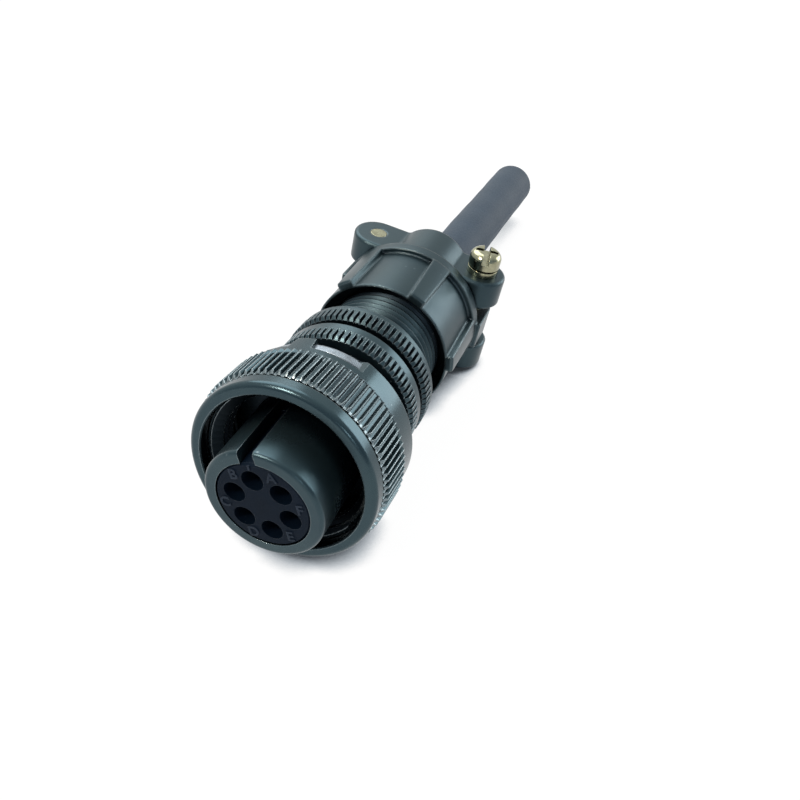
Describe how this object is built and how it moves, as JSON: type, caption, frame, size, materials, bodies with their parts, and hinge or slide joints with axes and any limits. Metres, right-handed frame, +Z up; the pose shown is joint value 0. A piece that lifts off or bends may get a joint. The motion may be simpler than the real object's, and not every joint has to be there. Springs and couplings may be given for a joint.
{
  "type": "circular connector",
  "caption": "Threaded circular cable plug with a knurled coupling nut, keyed socket insert, knurled backshell and a saddle-type strain-relief clamp on a rubber bushing.",
  "frame": {"origin": "centre of the bottom of the bounding box, on the table the plug lies on", "axes": "+Y from the contact face to the cable end, +Z up, +X to the right seen from the contact face"},
  "size_m": [0.031, 0.1222, 0.0295],
  "materials": {
    "olive_metal": "dark olive plated die-cast alloy, satin",
    "insert_resin": "dark blue-grey moulded resin",
    "contact_metal": "plated contact alloy",
    "spring_steel": "bright spring steel",
    "screw_nickel": "yellowish nickel plate",
    "bushing_rubber": "matte dark blue-grey rubber"
  },
  "bodies": {
    "plug": {"plug_shell": "olive_metal", "front_insert": "insert_resin", "rear_insert": "insert_resin", "insert_retaining_ring": "spring_steel", "contact_a": "contact_metal", "contact_b": "contact_metal", "contact_c": "contact_metal", "contact_d": "contact_metal", "contact_e": "contact_metal", "contact_f": "contact_metal", "backshell": "olive_metal"},
    "nut": {"coupling_nut": "olive_metal", "nut_retaining_ring": "spring_steel"},
    "bushing": {"cable_bushing": "bushing_rubber"},
    "clamp": {"clamp_body": "olive_metal"},
    "saddle_upper": {"upper_saddle": "olive_metal", "lock_washer_right": "screw_nickel"},
    "saddle_lower": {"lower_saddle": "olive_metal", "lock_washer_left": "screw_nickel"},
    "right_screw": {"screw_right": "screw_nickel"},
    "left_screw": {"screw_left": "screw_nickel"}
  },
  "joints": [
    {"name": "nut_spin", "type": "hinge", "parent": "plug", "child": "nut", "pos_m": [-0.0002, -0.04648, 0.01439], "axis": [0, 0.9914, -0.1306], "continuous": true},
    {"name": "clamp_advance", "type": "slide", "parent": "plug", "child": "bushing", "axis": [0, -0.999, 0.0454], "range_m": [-0.002, 0.0064]},
    {"name": "clamp_turn", "type": "hinge", "parent": "bushing", "child": "clamp", "pos_m": [0, -0.00192, 0.01236], "axis": [0, -0.999, 0.0454], "range_deg": [-540, 1800]},
    {"name": "upper_saddle_close", "type": "slide", "parent": "clamp", "child": "saddle_upper", "axis": [-0.1841, -0.0446, -0.9819], "range_m": [-0.000635, 0.0003175]},
    {"name": "lower_saddle_close", "type": "slide", "parent": "clamp", "child": "saddle_lower", "axis": [0.1841, 0.0446, 0.9819], "range_m": [-0.00064, 0.00032]},
    {"name": "screw_right_turn", "type": "hinge", "parent": "saddle_upper", "child": "right_screw", "pos_m": [0.00968, -0.002, 0.01055], "axis": [-0.1841, -0.0446, -0.9819], "range_deg": [-725, 365]},
    {"name": "screw_left_turn", "type": "hinge", "parent": "saddle_lower", "child": "left_screw", "pos_m": [-0.00968, -0.00184, 0.01418], "axis": [0.1841, 0.0446, 0.9819], "range_deg": [-725, 365]}
  ],
  "couplings": [
    {"joint": "clamp_advance", "follows": "clamp_turn", "m_per_rad": 0.00020213},
    {"joint": "lower_saddle_close", "follows": "upper_saddle_close", "ratio": 1},
    {"joint": "screw_right_turn", "follows": "upper_saddle_close", "rad_per_m": 19790},
    {"joint": "screw_left_turn", "follows": "upper_saddle_close", "rad_per_m": 19790}
  ]
}
